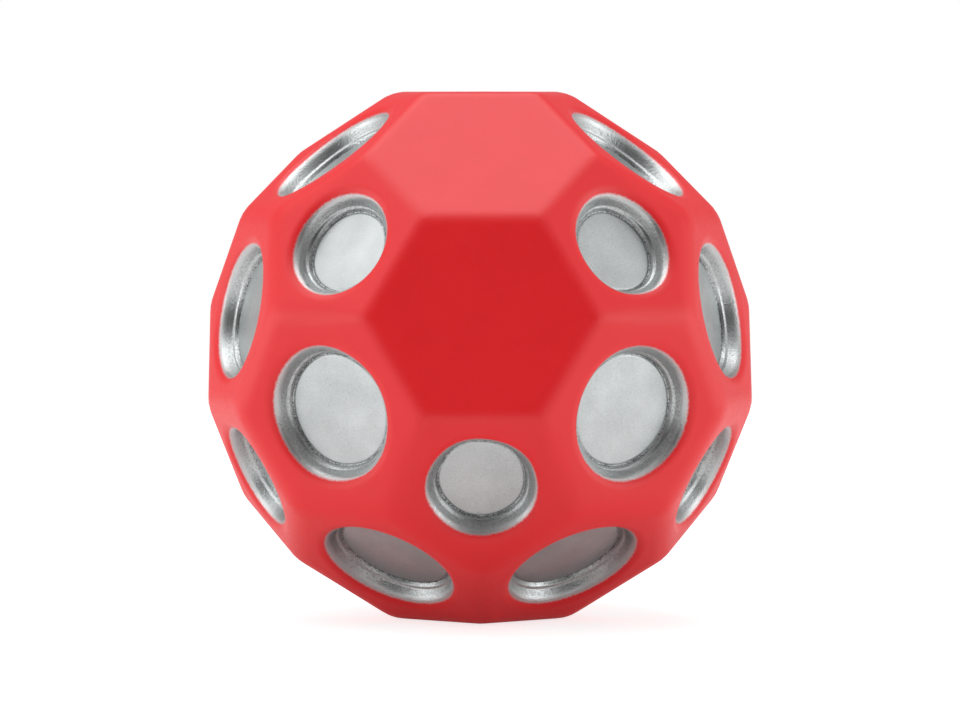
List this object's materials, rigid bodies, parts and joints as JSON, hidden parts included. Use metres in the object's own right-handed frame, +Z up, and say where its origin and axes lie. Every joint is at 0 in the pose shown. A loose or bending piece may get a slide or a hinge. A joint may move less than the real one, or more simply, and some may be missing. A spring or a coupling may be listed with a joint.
{
  "type": "stress ball",
  "caption": "Faceted foam stress and bounce ball that stands on a pentagon, with a shallow silver-lined round crater in all but two of its facets.",
  "frame": {"origin": "middle of the plane of the bottom pentagon, which the ball stands on", "axes": "+Z up, from the bottom pentagon to the top one; -Y towards the front, where the two plain hexagons are; +X to the right as seen from the front"},
  "size_m": [0.0674, 0.0664, 0.065],
  "materials": {
    "red_coat": "satin",
    "silver_coat": "satin",
    "foam": "matte"
  },
  "bodies": {
    "root": {"foam_core": "foam", "red_skin": "red_coat", "silver_crater_small_01": "silver_coat", "silver_crater_small_02": "silver_coat", "silver_crater_small_03": "silver_coat", "silver_crater_small_04": "silver_coat", "silver_crater_small_05": "silver_coat", "silver_crater_small_06": "silver_coat", "silver_crater_small_07": "silver_coat", "silver_crater_small_08": "silver_coat", "silver_crater_small_09": "silver_coat", "silver_crater_small_10": "silver_coat", "silver_crater_small_11": "silver_coat", "silver_crater_small_12": "silver_coat", "silver_crater_large_01": "silver_coat", "silver_crater_large_02": "silver_coat", "silver_crater_large_03": "silver_coat", "silver_crater_large_04": "silver_coat", "silver_crater_large_05": "silver_coat", "silver_crater_large_06": "silver_coat", "silver_crater_large_07": "silver_coat", "silver_crater_large_08": "silver_coat", "silver_crater_large_09": "silver_coat", "silver_crater_large_10": "silver_coat", "silver_crater_large_11": "silver_coat", "silver_crater_large_12": "silver_coat", "silver_crater_large_13": "silver_coat", "silver_crater_large_14": "silver_coat", "silver_crater_large_15": "silver_coat", "silver_crater_large_16": "silver_coat", "silver_crater_large_17": "silver_coat", "silver_crater_large_18": "silver_coat"}
  },
  "joints": []
}
